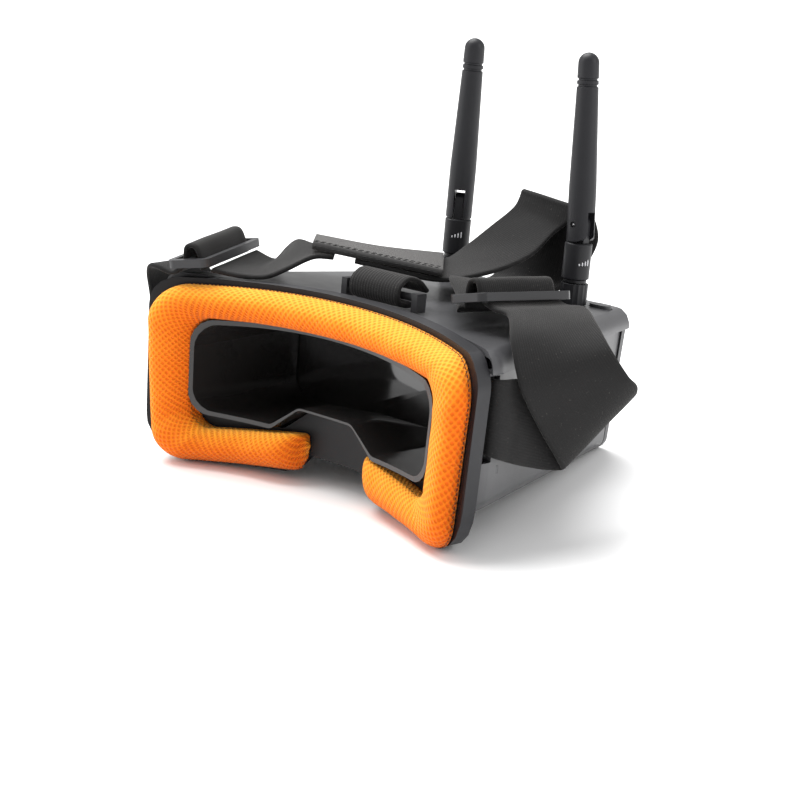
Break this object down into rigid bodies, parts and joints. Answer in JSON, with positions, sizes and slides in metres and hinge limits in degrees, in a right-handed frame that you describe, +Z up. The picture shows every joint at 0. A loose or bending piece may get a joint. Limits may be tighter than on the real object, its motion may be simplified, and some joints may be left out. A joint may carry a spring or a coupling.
{
  "type": "fpv goggles",
  "caption": "Head-worn video goggles: a box case behind a foam-padded face frame, with folding antennas, control buttons and an adjustable webbing headband.",
  "frame": {"origin": "middle of the bounding box in X and Y, at the floor the goggles rest on", "axes": "+Z up; +Y forward, away from the wearer's face; +X to the wearer's right"},
  "size_m": [0.1952, 0.1362, 0.1477],
  "materials": {
    "frame_plastic": "fine satin",
    "foam_mesh": "woven spacer mesh over foam",
    "case_plastic": "satin moulded",
    "button_plastic": "satin",
    "steel": "plain",
    "gold_plating": "plated",
    "antenna_plastic": "satin",
    "antenna_rubber": "satin",
    "lens_glass": "clear",
    "screen_glass": "dark polarised panel",
    "diffuser": "white diffuser",
    "circuit_board": "solder mask",
    "shield_metal": "tinned",
    "component_black": "moulded",
    "battery_wrap": "shrink wrap",
    "buckle_plastic": "satin with bevelled edges",
    "webbing": "ribbed woven webbing",
    "elastic": "ribbed elastic"
  },
  "bodies": {
    "goggles": {"face_frame": "frame_plastic", "foam_pad": "foam_mesh", "light_tunnel": "frame_plastic", "lower_case": "case_plastic", "top_case": "case_plastic", "front_cover": "frame_plastic", "case_screw_1": "steel", "case_screw_2": "steel", "case_screw_3": "steel", "case_screw_4": "steel", "strap_rod_left": "steel", "strap_rod_right": "steel", "lens": "lens_glass", "lens_frame": "frame_plastic", "screen_bezel": "frame_plastic", "screen_panel": "screen_glass", "screen_backlight": "diffuser", "main_board": "circuit_board", "video_chip": "component_black", "receiver_left": "shield_metal", "receiver_right": "shield_metal", "battery": "battery_wrap", "buzzer": "component_black", "usb_socket": "steel", "av_socket": "component_black", "connector_left": "gold_plating", "connector_right": "gold_plating", "antenna_nut_left": "antenna_plastic", "antenna_nut_right": "antenna_plastic", "coax_left": "component_black", "coax_right": "component_black", "buckle_right": "buckle_plastic", "buckle_left": "buckle_plastic", "side_strap_right": "webbing", "head_strap": "webbing", "junction_patch": "webbing", "side_strap_left": "webbing", "head_strap_left": "webbing", "top_bracket": "buckle_plastic", "top_strap": "elastic"},
    "antenna_foot_left": {"hinge_base_left": "antenna_plastic", "hinge_pin_left": "steel"},
    "antenna_left": {"whip_left": "antenna_rubber"},
    "antenna_foot_right": {"hinge_base_right": "antenna_plastic", "hinge_pin_right": "steel"},
    "antenna_right": {"whip_right": "antenna_rubber"},
    "power_button": {"power_button": "button_plastic"},
    "channel_button": {"channel_button": "button_plastic"},
    "band_button": {"band_button": "button_plastic"},
    "search_button": {"search_button": "button_plastic"}
  },
  "joints": [
    {"name": "antenna_swivel_left", "type": "hinge", "parent": "goggles", "child": "antenna_foot_left", "pos_m": [-0.03168, 0.05431, 0.0638], "axis": [0, 0.1234, 0.9924], "range_deg": [-40, 40]},
    {"name": "antenna_tilt_left", "type": "hinge", "parent": "antenna_foot_left", "child": "antenna_left", "pos_m": [-0.03168, 0.05701, 0.08553], "axis": [-0.8191, -0.5692, 0.0708], "range_deg": [0, 89]},
    {"name": "antenna_swivel_right", "type": "hinge", "parent": "goggles", "child": "antenna_foot_right", "pos_m": [0.02772, 0.05431, 0.0638], "axis": [0, 0.1234, 0.9924], "range_deg": [-60, 10]},
    {"name": "antenna_tilt_right", "type": "hinge", "parent": "antenna_foot_right", "child": "antenna_right", "pos_m": [0.02772, 0.05701, 0.08553], "axis": [0, 0.9924, -0.1234], "range_deg": [0, 89]},
    {"name": "power_button_press", "type": "slide", "parent": "goggles", "child": "power_button", "axis": [0, -0.1234, -0.9924], "range_m": [0, 0.001], "stiffness_N_per_m": 400},
    {"name": "channel_button_press", "type": "slide", "parent": "goggles", "child": "channel_button", "axis": [0, -0.1234, -0.9924], "range_m": [0, 0.001], "stiffness_N_per_m": 400},
    {"name": "band_button_press", "type": "slide", "parent": "goggles", "child": "band_button", "axis": [0, -0.1234, -0.9924], "range_m": [0, 0.001], "stiffness_N_per_m": 400},
    {"name": "search_button_press", "type": "slide", "parent": "goggles", "child": "search_button", "axis": [0, -0.1234, -0.9924], "range_m": [0, 0.001], "stiffness_N_per_m": 400}
  ]
}
